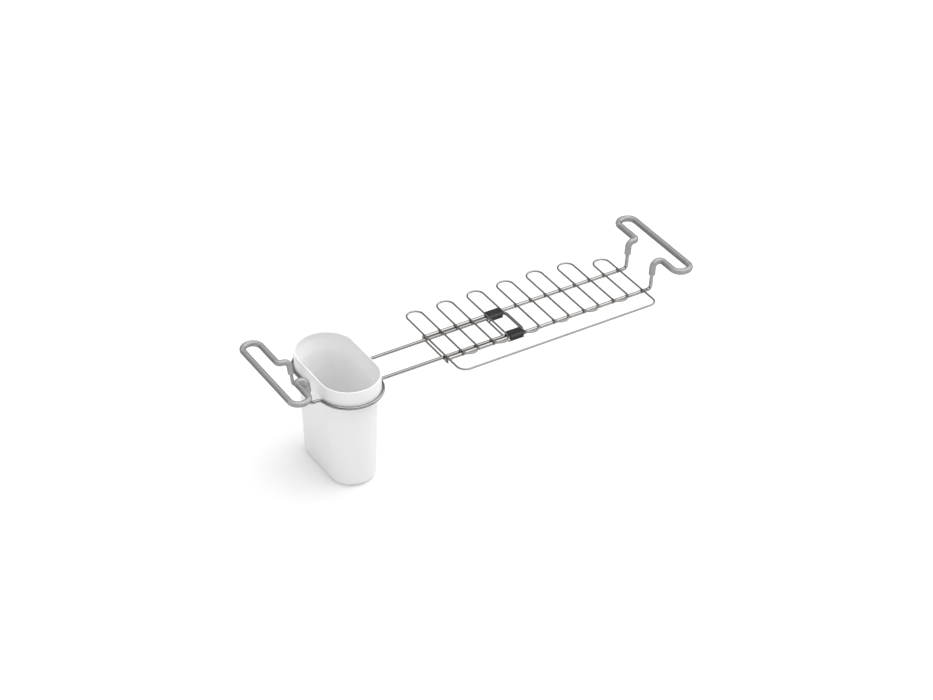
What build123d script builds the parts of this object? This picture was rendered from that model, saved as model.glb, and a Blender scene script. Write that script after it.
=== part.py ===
from build123d import *
from math import atan2, cos, degrees, radians, sin, sqrt, tan
import os

# Sink utility rack: a bent wire rack that hangs across a sink by a hook at each end.
# The deck is one rod bent into two rails and a hook, with a thin wire grid on top.
# The slider is a second rod. Its rails run beside the deck's, held by two snap clips,
# so the rack is drawn out or pushed in to suit the sink. Its far end carries a cup.
#
# Frame: X runs along the rack towards the deck hook, Y runs across it towards the back, Z is up.
# Origin: the point on the sink's rim that lies under the middle of the deck hook's outer bar.
# All sizes are in millimetres, and the slider is modelled drawn out to its stop.

# Rod and wire sizes
deck_rod_diameter = 4.8
slider_rod_diameter = 4.2
wire_diameter = 2.4
weld_sink = 0.1

# Rails
rail_axis_drop = 33.3
rails_centre_y = -6.5
deck_rail_spacing = 53.6
slider_rail_spacing = 42.2
rail_end_overhang = 2.0
riser_bend_radius = 5.0

# Hooks, alike on both rods. The risers lean a little away from their hook on the way down
hook_bar_spacing = 23.2
hook_end_y = 68.7
inner_bend_radius = 5.0
neck_flat = 0.3
hook_end_flat = 0.4
deck_riser_lean = 4.0
slider_riser_lean = 6.5
sleeve_wall = 1.6
sleeve_bore_clearance = 0.02
deck_neck_reach = 11.9
slider_neck_reach = 13.8
deck_sleeve_drop = 17.0
slider_sleeve_drop = 19.5

# Grid
leg_pitch = 21.5
last_leg_to_riser = 13.2
long_loop_reach = 49.6
sixth_loop_reach = 44.7
seventh_loop_reach = 29.0
front_bend_reach = 9.0
loop_end_flat = 0.5
towel_bar_reach = 35.0
towel_bar_start = 3.6
towel_bar_left_radius = 12.0
towel_bar_right_radius = 10.0
cross_wire_overhang = 3.0

# Slide clips, which fill the bay between the fifth and the sixth leg
legs_before_clips = 4
clip_end_gap = 0.45
clip_wall = 2.0
clip_chamfer = 1.8
clip_grip_clearance = 0.02
clip_slide_clearance = 0.08
clip_mouth_share = 0.8
clip_rib_width = 1.0
clip_groove_width = 1.0
clip_groove_depth = 0.6

# Slider
slider_stop_gap = 0.3
slider_bend_radius = 5.0
bay_end_flat = 0.4
slider_length = 239.0
foot_length = 13.9

# Cup
cup_centre_y = 3.5
cup_straight = 58.0
body_radius = 33.6
collar_ledge = 3.4
collar_height = 21.0
collar_wall = 1.8
seat_width = 1.0
seat_steepness = 65.0
seat_gap = 0.2
body_draft = 2.2
body_wall = 2.2
cup_depth = 124.5
floor_thickness = 2.6
floor_edge_radius = 7.5
shoulder_height = 14.0
shoulder_blend = 20.0
rim_edge_radius = 0.8

# One length by which every cutting shape runs past what it cuts
overrun = 2.0

# Places worked out from the sizes above
deck_radius = deck_rod_diameter / 2
slider_radius = slider_rod_diameter / 2
wire_radius = wire_diameter / 2
rail_z = -rail_axis_drop
deck_rear_y = rails_centre_y + deck_rail_spacing / 2
deck_front_y = rails_centre_y - deck_rail_spacing / 2
slider_rear_y = rails_centre_y + slider_rail_spacing / 2
slider_front_y = rails_centre_y - slider_rail_spacing / 2
deck_hook_z = deck_radius + sleeve_wall
slider_hook_z = slider_radius + sleeve_wall
hook_end_radius = (hook_bar_spacing - hook_end_flat) / 2

long_loop_count = 5
short_loop_reaches = [sixth_loop_reach, seventh_loop_reach]
loop_reaches = [long_loop_reach] * long_loop_count + short_loop_reaches
leg_count = 2 * len(loop_reaches)
deck_riser_x = -hook_bar_spacing - deck_neck_reach
deck_foot_x = deck_riser_x - (deck_hook_z - rail_z) * tan(radians(deck_riser_lean))
last_leg_x = deck_foot_x - last_leg_to_riser
first_leg_x = last_leg_x - (leg_count - 1) * leg_pitch
rail_end_x = first_leg_x - rail_end_overhang
loop_end_radius = (leg_pitch - loop_end_flat) / 2
grid_z = rail_z + deck_radius + wire_radius - weld_sink
cross_wire_z = rail_z - deck_radius - wire_radius + weld_sink
towel_bar_y = deck_front_y - towel_bar_reach
towel_bar_start_y = deck_front_y - towel_bar_start

clip_length = leg_pitch - wire_diameter - 2 * clip_end_gap
clip_left_x = first_leg_x + legs_before_clips * leg_pitch + wire_radius + clip_end_gap
mid_cross_wire_x = first_leg_x + legs_before_clips * leg_pitch

crossbar_x = clip_left_x + clip_length + slider_bend_radius + slider_stop_gap
cup_x = crossbar_x - slider_length
collar_radius = body_radius + collar_ledge + seat_width
seat_slope = 90 - seat_steepness
seat_reach = slider_radius + seat_gap
bay_radius = collar_radius - seat_width / 2 + seat_reach * cos(radians(seat_slope))
bay_bend_radius = bay_radius - bay_end_flat / 2
slider_foot_x = cup_x - bay_radius - foot_length
slider_riser_x = slider_foot_x - (slider_hook_z - rail_z) * tan(radians(slider_riser_lean))
slider_inner_x = slider_riser_x - slider_neck_reach
slider_outer_x = slider_inner_x - hook_bar_spacing

seat_middle_z = rail_z + seat_reach * sin(radians(seat_slope))
seat_height = seat_width * tan(radians(seat_steepness))
collar_bottom_z = seat_middle_z - seat_height / 2
rim_z = rail_z + collar_height
cup_bottom_z = rail_z - cup_depth


def bent_rod(route, radii, diameter):
    """A round bar along straight runs, with a bend of the given radius at each corner."""
    path = FilletPolyline(*route, radius=radii)
    return tube_along(path, diameter)


def tube_along(path, diameter):
    """A round bar swept along a path of runs and arcs."""
    start = Plane(origin=path @ 0, z_dir=path % 0)
    return sweep(start * Circle(diameter / 2), path=path)


def hook_route(riser_x, inner_x, outer_x, hook_z, rear_y, front_y):
    """Corners of a hook, from the top of its rear riser round to the top of its front riser."""
    return [
        (riser_x, rear_y, hook_z),
        (inner_x, rear_y, hook_z),
        (inner_x, hook_end_y, hook_z),
        (outer_x, hook_end_y, hook_z),
        (outer_x, -hook_end_y, hook_z),
        (inner_x, -hook_end_y, hook_z),
        (inner_x, front_y, hook_z),
        (riser_x, front_y, hook_z),
    ]


def hook_radii(neck_reach, riser_lean):
    """One bend radius for each corner of a hook. The neck's bend takes what reach is left."""
    left_over = neck_reach - inner_bend_radius - neck_flat
    neck_bend_radius = left_over / tan(radians((90 - riser_lean) / 2))
    neck = [neck_bend_radius, inner_bend_radius]
    return [*neck, *[hook_end_radius] * 4, *reversed(neck)]


deck_hook_radii = hook_radii(deck_neck_reach, deck_riser_lean)
slider_hook_radii = hook_radii(slider_neck_reach, slider_riser_lean)
deck_hook = hook_route(
    deck_riser_x, -hook_bar_spacing, 0, deck_hook_z, deck_rear_y, deck_front_y
)
slider_hook = hook_route(
    slider_riser_x, slider_inner_x, slider_outer_x, slider_hook_z, slider_rear_y, slider_front_y
)


def make_deck_rod():
    """The deck's rod: rear rail, hook and front rail in one length."""
    route = [
        (rail_end_x, deck_rear_y, rail_z),
        (deck_foot_x, deck_rear_y, rail_z),
        *deck_hook,
        (deck_foot_x, deck_front_y, rail_z),
        (rail_end_x, deck_front_y, rail_z),
    ]
    radii = [riser_bend_radius, *deck_hook_radii, riser_bend_radius]
    return bent_rod(route, radii, deck_rod_diameter)


def make_hook_sleeve(hook, radii, foot_x, sleeve_drop, rod_diameter):
    """A vinyl sleeve drawn over a hook, from part way up one riser to the same height on the other."""
    riser_x, rear_y, hook_z = hook[0]
    _, front_y, _ = hook[-1]
    bore_diameter = rod_diameter + 2 * sleeve_bore_clearance

    def round_bar(drop, diameter):
        low_x = riser_x + (foot_x - riser_x) * drop / (hook_z - rail_z)
        low_z = hook_z - drop
        route = [(low_x, rear_y, low_z), *hook, (low_x, front_y, low_z)]
        return bent_rod(route, radii, diameter)

    outside = round_bar(sleeve_drop, rod_diameter + 2 * sleeve_wall)
    return outside - round_bar(sleeve_drop + overrun, bore_diameter)


def leg_x(number):
    """Place of a grid leg, counted from 0 at the open end."""
    return first_leg_x + number * leg_pitch


def deck_rails():
    """The two straight rails alone, which the wires are welded to."""
    length = deck_foot_x - rail_end_x
    middle_x = rail_end_x + length / 2
    bar = Cylinder(deck_radius, length, rotation=(0, 90, 0))
    rear = Pos(middle_x, deck_rear_y, rail_z) * bar
    return rear + Pos(middle_x, deck_front_y, rail_z) * bar


def make_grid_wire():
    """The wire that runs to and fro across the rails, with a weld seat at each crossing."""
    front_bend_y = deck_front_y - front_bend_reach
    route = [(leg_x(0), towel_bar_start_y, grid_z)]
    for loop, reach in enumerate(loop_reaches):
        left_x = leg_x(2 * loop)
        right_x = leg_x(2 * loop + 1)
        route += [(left_x, deck_rear_y + reach, grid_z), (right_x, deck_rear_y + reach, grid_z)]
        if loop < len(loop_reaches) - 1:
            route += [(right_x, front_bend_y, grid_z), (right_x + leg_pitch, front_bend_y, grid_z)]
    route.append((last_leg_x, towel_bar_start_y, grid_z))
    radii = [loop_end_radius] * (len(route) - 2)
    return bent_rod(route, radii, wire_diameter) - deck_rails()


def make_towel_bar():
    """The same wire carried on from the first and the last leg as the long bar in front."""
    route = [
        (first_leg_x, towel_bar_start_y, grid_z),
        (first_leg_x, towel_bar_y, grid_z),
        (last_leg_x, towel_bar_y, grid_z),
        (last_leg_x, towel_bar_start_y, grid_z),
    ]
    return bent_rod(route, [towel_bar_left_radius, towel_bar_right_radius], wire_diameter)


def make_cross_wire(x):
    """A straight wire welded under both rails."""
    length = deck_rail_spacing + 2 * cross_wire_overhang
    bar = Cylinder(wire_radius, length, rotation=(90, 0, 0))
    return Pos(x, rails_centre_y, cross_wire_z) * bar - deck_rails()


def make_slide_clip(deck_y, slider_y):
    """A ribbed snap clip. It grips a deck rail and lets the slider's rail run beside it."""
    outward = 1 if deck_y > slider_y else -1
    inner_y = slider_y - outward * (slider_radius + clip_wall)
    outer_y = deck_y + outward * (deck_radius + clip_wall)
    width = abs(outer_y - inner_y)
    height = 2 * (deck_radius + clip_wall)
    middle = Pos((inner_y + outer_y) / 2, rail_z)
    block = Rectangle(width, height)
    profile = middle * chamfer(block.vertices(), clip_chamfer)

    bores = (
        (deck_y, deck_radius + clip_grip_clearance),
        (slider_y, slider_radius + clip_slide_clearance),
    )
    for y, bore_radius in bores:
        mouth_depth = height / 2 + overrun
        mouth = Rectangle(2 * bore_radius * clip_mouth_share, mouth_depth)
        profile -= Pos(y, rail_z) * Circle(bore_radius)
        profile -= Pos(y, rail_z - mouth_depth / 2) * mouth

    rib_pitch = clip_rib_width + clip_groove_width
    top_grooves = int((width - 2 * clip_chamfer) / rib_pitch)
    side_grooves = int((height - 2 * clip_chamfer) / rib_pitch)
    top_groove = Rectangle(clip_groove_width, 2 * clip_groove_depth)
    side_groove = Rectangle(2 * clip_groove_depth, clip_groove_width)
    for place in GridLocations(rib_pitch, 0, top_grooves, 1):
        profile -= middle * place * Pos(0, height / 2) * top_groove
    for place in GridLocations(0, rib_pitch, 1, side_grooves):
        profile -= middle * place * Pos(width / 2, 0) * side_groove
        profile -= middle * place * Pos(-width / 2, 0) * side_groove
    return extrude(Plane.YZ.offset(clip_left_x) * profile, clip_length)


def make_front_bay_arcs(rail_y, arc_y):
    """The bay's round front end, with the small bends that lead in from rail and foot."""
    arc_centre = Vector(cup_x, arc_y, rail_z)
    bend_drop = arc_y - (rail_y - slider_bend_radius)
    bend_reach = sqrt((bay_radius + slider_bend_radius) ** 2 - bend_drop**2)
    to_rail = Vector(0, 1, 0)
    bends = []
    for side in (1, -1):
        bend_centre = arc_centre + Vector(side * bend_reach, -bend_drop, 0)
        to_bay = (arc_centre - bend_centre).normalized()
        directions = (to_rail, (to_rail + to_bay).normalized(), to_bay)
        points = [bend_centre + direction * slider_bend_radius for direction in directions]
        bends.append(ThreePointArc(*points))
    lowest = arc_centre - to_rail * bay_radius
    bay_end = ThreePointArc(bends[0] @ 1, lowest, bends[1] @ 1)
    return [bends[0], bay_end, bends[1]]


def make_slider_rod():
    """The slider's rod: crossbar, rails, bay round the cup, feet and hook in one closed loop."""
    bay_left_x = cup_x - bay_radius
    bay_right_x = cup_x + bay_radius
    rear_arc_y = cup_centre_y + cup_straight / 2
    front_arc_y = cup_centre_y - cup_straight / 2
    bay_rear_y = rear_arc_y + bay_radius
    bend = slider_bend_radius

    rear_route = [
        (crossbar_x, rails_centre_y, rail_z),
        (crossbar_x, slider_rear_y, rail_z),
        (bay_right_x, slider_rear_y, rail_z),
        (bay_right_x, bay_rear_y, rail_z),
        (bay_left_x, bay_rear_y, rail_z),
        (bay_left_x, slider_rear_y, rail_z),
        (slider_foot_x, slider_rear_y, rail_z),
        *slider_hook[:4],
        (slider_outer_x, 0, slider_hook_z),
    ]
    rear_radii = [bend, bend, bay_bend_radius, bay_bend_radius, bend, riser_bend_radius]
    rear_half = bent_rod(rear_route, rear_radii + slider_hook_radii[:4], slider_rod_diameter)

    bay_arcs = make_front_bay_arcs(slider_front_y, front_arc_y)
    right_bend_start = bay_arcs[0] @ 0
    left_bend_start = bay_arcs[-1] @ 0
    rail_route = [
        (crossbar_x, rails_centre_y, rail_z),
        (crossbar_x, slider_front_y, rail_z),
        right_bend_start,
    ]
    hook_end_route = [
        left_bend_start,
        (slider_foot_x, slider_front_y, rail_z),
        *reversed(slider_hook[4:]),
        (slider_outer_x, 0, slider_hook_z),
    ]
    rail_path = FilletPolyline(*rail_route, radius=[bend])
    hook_end_radii = [riser_bend_radius, *reversed(slider_hook_radii[4:])]
    hook_path = FilletPolyline(*hook_end_route, radius=hook_end_radii)
    front_path = Wire([*rail_path.edges(), *[arc.edge() for arc in bay_arcs], *hook_path.edges()])
    return rear_half + tube_along(front_path, slider_rod_diameter)


def cup_outline(radius):
    """A slot-shaped outline of the given end radius, long across the rack."""
    return Rot(0, 0, 90) * SlotCenterToCenter(cup_straight, 2 * radius)


def cup_slab(radius, low_z, height, slope=0):
    """A slot-shaped block that grows upwards, by slope degrees on every side."""
    place = Pos(cup_x, cup_centre_y, low_z)
    return place * extrude(cup_outline(radius), height, taper=-slope)


def make_soaking_cup():
    """The cup: a drafted body, a wide collar with a sloped seat, and one smooth hollow."""
    draft = tan(radians(body_draft))
    foot_radius = body_radius - cup_depth * draft
    body = cup_slab(foot_radius, cup_bottom_z, cup_depth, body_draft)
    body = fillet(body.faces().sort_by(Axis.Z)[0].edges(), floor_edge_radius)

    seat = cup_slab(collar_radius - seat_width, collar_bottom_z, seat_height, seat_slope)
    seat_top_z = collar_bottom_z + seat_height
    collar = cup_slab(collar_radius, seat_top_z, rim_z - seat_top_z)
    outside = body + seat + collar

    hollow_floor_z = cup_bottom_z + floor_thickness
    hollow_foot = foot_radius + floor_thickness * draft - body_wall
    shoulder_low_z = rim_z - collar_height
    hollow_top = body_radius - body_wall
    collar_hollow = collar_radius - collar_wall
    shoulder_slope = degrees(atan2(collar_hollow - hollow_top, shoulder_height))
    lower = cup_slab(hollow_foot, hollow_floor_z, shoulder_low_z - hollow_floor_z, body_draft)
    shoulder = cup_slab(hollow_top, shoulder_low_z, shoulder_height, shoulder_slope)
    upper_z = shoulder_low_z + shoulder_height
    upper = cup_slab(collar_hollow, upper_z, rim_z - upper_z + overrun)
    lower_edge_radius = floor_edge_radius - body_wall
    lower = fillet(lower.faces().sort_by(Axis.Z)[0].edges(), lower_edge_radius)
    hollow = lower + shoulder + upper
    for corner_z in (shoulder_low_z, upper_z):
        nearest = hollow.edges().group_by(lambda edge: round(abs(edge.center().Z - corner_z), 3))
        hollow = fillet(nearest[0], shoulder_blend)
    cup = outside - hollow
    rim_edges = cup.faces().sort_by(Axis.Z)[-1].edges()
    return fillet(rim_edges, rim_edge_radius)


os.makedirs("parts", exist_ok=True)

export_step(make_deck_rod(), "parts/deck_rod.step")
deck_sleeve = make_hook_sleeve(
    deck_hook, deck_hook_radii, deck_foot_x, deck_sleeve_drop, deck_rod_diameter
)
export_step(deck_sleeve, "parts/deck_hook_sleeve.step")
export_step(make_grid_wire(), "parts/grid_wire.step")
export_step(make_towel_bar(), "parts/towel_bar.step")
export_step(make_cross_wire(first_leg_x), "parts/deck_end_cross_wire.step")
export_step(make_cross_wire(mid_cross_wire_x), "parts/deck_mid_cross_wire.step")
export_step(make_slide_clip(deck_rear_y, slider_rear_y), "parts/rear_slide_clip.step")
export_step(make_slide_clip(deck_front_y, slider_front_y), "parts/front_slide_clip.step")
export_step(make_slider_rod(), "parts/slider_rod.step")
cup_sleeve = make_hook_sleeve(
    slider_hook, slider_hook_radii, slider_foot_x, slider_sleeve_drop, slider_rod_diameter
)
export_step(cup_sleeve, "parts/cup_hook_sleeve.step")
export_step(make_soaking_cup(), "parts/soaking_cup.step")

print("deck riser x", round(deck_riser_x, 2), "foot", round(deck_foot_x, 2), "leg", round(last_leg_x, 2))
print("cup centre x", round(cup_x, 2), "foot", round(slider_foot_x, 2), "hook", round(slider_outer_x, 2))
print("slider travel to the rails", round(rail_end_x - cup_x - bay_radius - slider_radius, 2))
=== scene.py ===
# %% [markdown]
# # A sink utility rack, dressed
# The rack hangs across a kitchen sink. Two bent steel rods slide past each other, thin wires make a
# deck on one of them, and a white cup hangs in the other. The solid model already exists and is loaded
# as a fixed frame. This lesson makes finer meshes around it and gives each one its finish.

from math import ceil, cos, degrees, pi, radians, sin, sqrt, tan

import bmesh
import bpy
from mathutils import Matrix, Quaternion, Vector


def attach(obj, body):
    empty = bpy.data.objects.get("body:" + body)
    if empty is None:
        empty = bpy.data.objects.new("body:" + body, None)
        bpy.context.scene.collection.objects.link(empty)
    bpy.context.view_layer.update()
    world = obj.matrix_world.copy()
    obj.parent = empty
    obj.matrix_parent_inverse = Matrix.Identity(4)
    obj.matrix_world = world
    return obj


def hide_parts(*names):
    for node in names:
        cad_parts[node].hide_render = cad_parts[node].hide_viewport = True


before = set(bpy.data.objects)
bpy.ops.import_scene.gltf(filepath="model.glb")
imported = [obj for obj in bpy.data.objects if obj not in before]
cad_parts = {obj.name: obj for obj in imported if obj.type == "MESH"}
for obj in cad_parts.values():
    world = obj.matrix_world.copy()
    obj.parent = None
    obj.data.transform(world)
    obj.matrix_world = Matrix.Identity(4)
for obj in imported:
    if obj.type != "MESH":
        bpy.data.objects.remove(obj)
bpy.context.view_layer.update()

# %% [markdown]
# ## Sizes
# Blender works in metres here, but a rack is measured in millimetres. All lengths below are written in
# millimetres and turned into metres in one place, when a mesh is made. They repeat the solid model's
# sizes, because a piece that stands for a solid has to lie where the solid lies.

# %% Sizes of rods, wires and rails
MM = 0.001

deck_rod_radius = 2.4
slider_rod_radius = 2.1
wire_radius = 1.2
deck_rear_y, deck_front_y = 20.3, -33.3
slider_rear_y, slider_front_y = 14.6, -27.6
rails_centre_y = -6.5
rail_z = -33.3
grid_z = -29.8
cross_wire_z = -36.8
leg_pitch = 21.5
leg_count = 14
first_leg_x = -330.41
last_leg_x = first_leg_x + (leg_count - 1) * leg_pitch
rail_end_overhang = 2.0
rail_end_x = first_leg_x - rail_end_overhang
riser_bend = 5.0
print("last leg of the grid at x =", last_leg_x)

# %% Sizes of the two hooks
hook_end_y = 68.7
hook_spacing = 23.2
inner_bend = 5.0
neck_flat = 0.3
hook_end_bend = 11.4
deck_neck, slider_neck = 11.9, 13.8
deck_lean, slider_lean = 4.0, 6.5
deck_hook_z, slider_hook_z = 4.0, 3.7
deck_riser_x = -hook_spacing - deck_neck
deck_foot_x = deck_riser_x - (deck_hook_z - rail_z) * tan(radians(deck_lean))
slider_foot_x = -511.74
slider_riser_x = slider_foot_x - (slider_hook_z - rail_z) * tan(radians(slider_lean))
slider_inner_x = slider_riser_x - slider_neck
slider_outer_x = slider_inner_x - hook_spacing


def hook_bends(neck, lean):
    """One bend radius for each corner of a hook. The neck's bend takes what length is left."""
    neck_bend = (neck - inner_bend - neck_flat) / tan(radians((90 - lean) / 2))
    return [neck_bend, inner_bend, *[hook_end_bend] * 4, inner_bend, neck_bend]


def hook_corners(riser_x, inner_x, outer_x, hook_z, rear_y, front_y):
    """Corners of a hook, from the top of its rear riser round to the top of its front riser."""
    return [
        (riser_x, rear_y, hook_z),
        (inner_x, rear_y, hook_z),
        (inner_x, hook_end_y, hook_z),
        (outer_x, hook_end_y, hook_z),
        (outer_x, -hook_end_y, hook_z),
        (inner_x, -hook_end_y, hook_z),
        (inner_x, front_y, hook_z),
        (riser_x, front_y, hook_z),
    ]


deck_bends = hook_bends(deck_neck, deck_lean)
slider_bends = hook_bends(slider_neck, slider_lean)
deck_hook = hook_corners(deck_riser_x, -hook_spacing, 0, deck_hook_z, deck_rear_y, deck_front_y)
slider_hook = hook_corners(
    slider_riser_x, slider_inner_x, slider_outer_x, slider_hook_z, slider_rear_y, slider_front_y
)
print("slider hook's outer bar at x =", round(slider_outer_x, 2))

# %% [markdown]
# ## Bending a rod
# A bending machine leaves straight runs joined by round bends. A curve object could do this too, but a
# list of points lets the same line carry a plain rod, a ribbed sleeve or a thin wire, and it keeps every
# ring square to the line. Each corner is cut back by radius x tan(half the turn) and filled with an arc.


# %% Centre line of a bent rod
def bent_line(corners, bends, step_degrees=5.0):
    """Points along straight runs and round bends. One bend radius for each inner corner."""
    points = [Vector(corners[0])]
    for index, radius in enumerate(bends):
        before, corner, after = (Vector(corners[index + k]) for k in range(3))
        way_in = (corner - before).normalized()
        way_out = (after - corner).normalized()
        turn = way_in.angle(way_out)
        inward = (way_out - way_in * way_in.dot(way_out)).normalized()
        start = corner - way_in * radius * tan(turn / 2)
        centre = start + inward * radius
        steps = ceil(degrees(turn) / step_degrees)
        for k in range(steps + 1):
            angle = turn * k / steps
            points.append(centre + (way_in * sin(angle) - inward * cos(angle)) * radius)
    points.append(Vector(corners[-1]))
    return without_repeats(points)


def without_repeats(points, closest=0.01):
    """The same points, less each one that lies on the one before."""
    kept = [points[0]]
    for point in points[1:]:
        if (point - kept[-1]).length > closest:
            kept.append(point)
    return kept


def even_steps(points, step):
    """Points at even distances along a line, for a surface with a fine pattern along it."""
    lengths = [0.0]
    for a, b in zip(points, points[1:]):
        lengths.append(lengths[-1] + (b - a).length)
    count = round(lengths[-1] / step)
    placed = []
    segment = 0
    for k in range(count + 1):
        along = lengths[-1] * k / count
        while segment < len(points) - 2 and lengths[segment + 1] < along:
            segment += 1
        share = (along - lengths[segment]) / (lengths[segment + 1] - lengths[segment])
        placed.append(points[segment].lerp(points[segment + 1], share))
    return placed


demo = bent_line([(0, 0, 0), (20, 0, 0), (20, 20, 0)], [5])
print("a quarter bend becomes", len(demo), "points")

# %% [markdown]
# ## Sweeping a ring along the line
# The ring has to turn with the line but not spin round it. Each ring's sideways direction is the last
# one's, turned by the same small rotation that the line makes. On a closed loop the last ring can come
# back a little twisted, and that twist is shared out over all rings, so that the skin closes.
# Every point also stores where it is on the unrolled skin: round it in X and Y, along it in Z. The
# materials use that to lay drawn lines along a rod, whichever way the rod is bent.


# %% Rings that follow a line
def line_directions(points, closed):
    """Unit direction of the line at each point."""
    count = len(points)
    steps = [(points[(i + 1) % count] - points[i]).normalized() for i in range(count)]
    directions = []
    for i in range(count):
        if closed or 0 < i < count - 1:
            directions.append((steps[i - 1] + steps[i]).normalized())
        else:
            directions.append(steps[0] if i == 0 else steps[-2])
    return directions


def side_directions(directions, closed, nearly_upright=0.9):
    """A direction square to the line at each point, turning no more than the line does."""
    first = directions[0]
    across = Vector((0, 0, 1)) if abs(first.z) < nearly_upright else Vector((1, 0, 0))
    sides = [(across - first * across.dot(first)).normalized()]
    for a, b in zip(directions, directions[1:]):
        sides.append(a.rotation_difference(b) @ sides[-1])
    if closed:
        back = directions[-1].rotation_difference(first) @ sides[-1]
        twist = back.angle(sides[0])
        if first.dot(back.cross(sides[0])) < 0:
            twist = -twist
        count = len(sides)
        sides = [
            Quaternion(d, twist * i / count) @ side
            for i, (d, side) in enumerate(zip(directions, sides))
        ]
    return sides


def swept_rings(points, radii, closed=False):
    """(centre, direction, side, radius, distance along) of every ring."""
    directions = line_directions(points, closed)
    sides = side_directions(directions, closed)
    along = 0.0
    rings = []
    for i, point in enumerate(points):
        if i:
            along += (point - points[i - 1]).length
        rings.append((point, directions[i], sides[i], radii[i], along))
    return rings


demo_rings = swept_rings(demo, [deck_rod_radius] * len(demo))
print("a corner of 20 and 20 mm is", round(demo_rings[-1][-1], 2), "mm long once it is bent")


# %% A mesh from rings
rod_sides = 32
wire_sides = 20
sharpest_smooth_edge = radians(35)


def ring_mesh(name, rings, closed=False, sides=rod_sides):
    """One object from a row of rings. An open row gets a flat face at each end."""
    mesh = bmesh.new()
    skin = mesh.verts.layers.float_vector.new("skin")
    loops = []
    for centre, direction, side, radius, along in rings:
        third = direction.cross(side)
        loop = []
        for k in range(sides):
            angle = 2 * pi * k / sides
            offset = side * cos(angle) + third * sin(angle)
            vert = mesh.verts.new((centre + offset * radius) * MM)
            vert[skin] = Vector((cos(angle) * radius, sin(angle) * radius, along)) * MM
            loop.append(vert)
        loops.append(loop)
    if not closed:
        mesh.faces.new(reversed(loops[0]))
        mesh.faces.new(loops[-1])
    join_loops(mesh, loops + loops[:1] if closed else loops)
    return object_from(mesh, name)


def join_loops(mesh, loops):
    """Four-sided faces between each loop of points and the next."""
    for low, high in zip(loops, loops[1:]):
        for k in range(len(low)):
            n = (k + 1) % len(low)
            mesh.faces.new((low[k], low[n], high[n], high[k]))


def object_from(mesh, name):
    """A smooth-shaded object from a bmesh, with its sharp edges kept sharp."""
    bmesh.ops.recalc_face_normals(mesh, faces=mesh.faces)
    for face in mesh.faces:
        face.smooth = True
    for edge in mesh.edges:
        edge.smooth = edge.calc_face_angle(0) < sharpest_smooth_edge
    data = bpy.data.meshes.new(name)
    mesh.to_mesh(data)
    mesh.free()
    piece = bpy.data.objects.new(name, data)
    bpy.context.scene.collection.objects.link(piece)
    return piece


print("a ring has", rod_sides, "sides on a rod and", wire_sides, "on a wire")

# %% [markdown]
# ## The rods
# A rod is cropped to length, and the cut is tumbled until its edge is soft. So each open end gets two
# extra rings that draw the radius in. The slider's rod has no ends: it is welded into one loop.


# %% Plain rod with softened ends
def rod_rings(points, radius, soften=0.35, middle_share=0.3):
    """Rings of a rod with both cut ends a little rounded."""
    start = (points[1] - points[0]).normalized()
    end = (points[-1] - points[-2]).normalized()
    middle = soften * middle_share
    line = [
        points[0],
        points[0] + start * middle,
        points[0] + start * soften,
        *points[1:-1],
        points[-1] - end * soften,
        points[-1] - end * middle,
        points[-1],
    ]
    radii = [radius] * len(line)
    radii[0] = radii[-1] = radius - soften
    radii[1] = radii[-2] = radius - middle
    return swept_rings(line, radii)


print("softening both ends adds", len(rod_rings(demo, deck_rod_radius)) - len(demo), "rings")


# %% Deck rod
deck_route = [
    (rail_end_x, deck_rear_y, rail_z),
    (deck_foot_x, deck_rear_y, rail_z),
    *deck_hook,
    (deck_foot_x, deck_front_y, rail_z),
    (rail_end_x, deck_front_y, rail_z),
]
deck_line = bent_line(deck_route, [riser_bend, *deck_bends, riser_bend])
deck_rod = ring_mesh("deck_rod_bent", rod_rings(deck_line, deck_rod_radius))
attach(deck_rod, "deck")
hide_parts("deck_rod")
print("deck rod:", len(deck_rod.data.polygons), "faces")

# %% [markdown]
# ## The slider's rod
# Its rails open out round the cup. At the back they do so with plain corners, but in front the rail
# lies beyond the start of the round, so a small bend leads into the large one. The meeting point of two
# touching arcs lies on the line through their centres, which is how `front_bay` finds it.

# %% Front of the bay
slider_bend = 5.0
cup_x, cup_y = -458.26, 3.5
cup_straight = 58.0
bay_radius = 39.58


def arc_points(centre, start, turn, step_degrees=4.0):
    """Points on an arc that starts at a point and turns about the centre, seen from above."""
    arm = start - centre
    steps = ceil(abs(degrees(turn)) / step_degrees)
    return [centre + Quaternion((0, 0, 1), turn * k / steps) @ arm for k in range(steps + 1)]


def front_bay():
    """From the foot round the front of the cup to the rail, as three touching arcs."""
    bay_centre = Vector((cup_x, cup_y - cup_straight / 2, rail_z))
    small_y = slider_front_y - slider_bend
    reach = sqrt((bay_radius + slider_bend) ** 2 - (bay_centre.y - small_y) ** 2)
    left = Vector((cup_x - reach, small_y, rail_z))
    right = Vector((cup_x + reach, small_y, rail_z))
    up = Vector((0, slider_bend, 0))
    small_turn = up.angle(bay_centre - left)
    large_turn = (left - bay_centre).angle(right - bay_centre)
    first = arc_points(left, left + up, -small_turn)
    large = arc_points(bay_centre, first[-1], large_turn)
    last = arc_points(right, large[-1], -small_turn)
    return first + large + last


bay_line = front_bay()
for word, point in (("starts", bay_line[0]), ("ends", bay_line[-1])):
    print("the bay", word, "at", [round(value, 2) for value in point])

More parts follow.
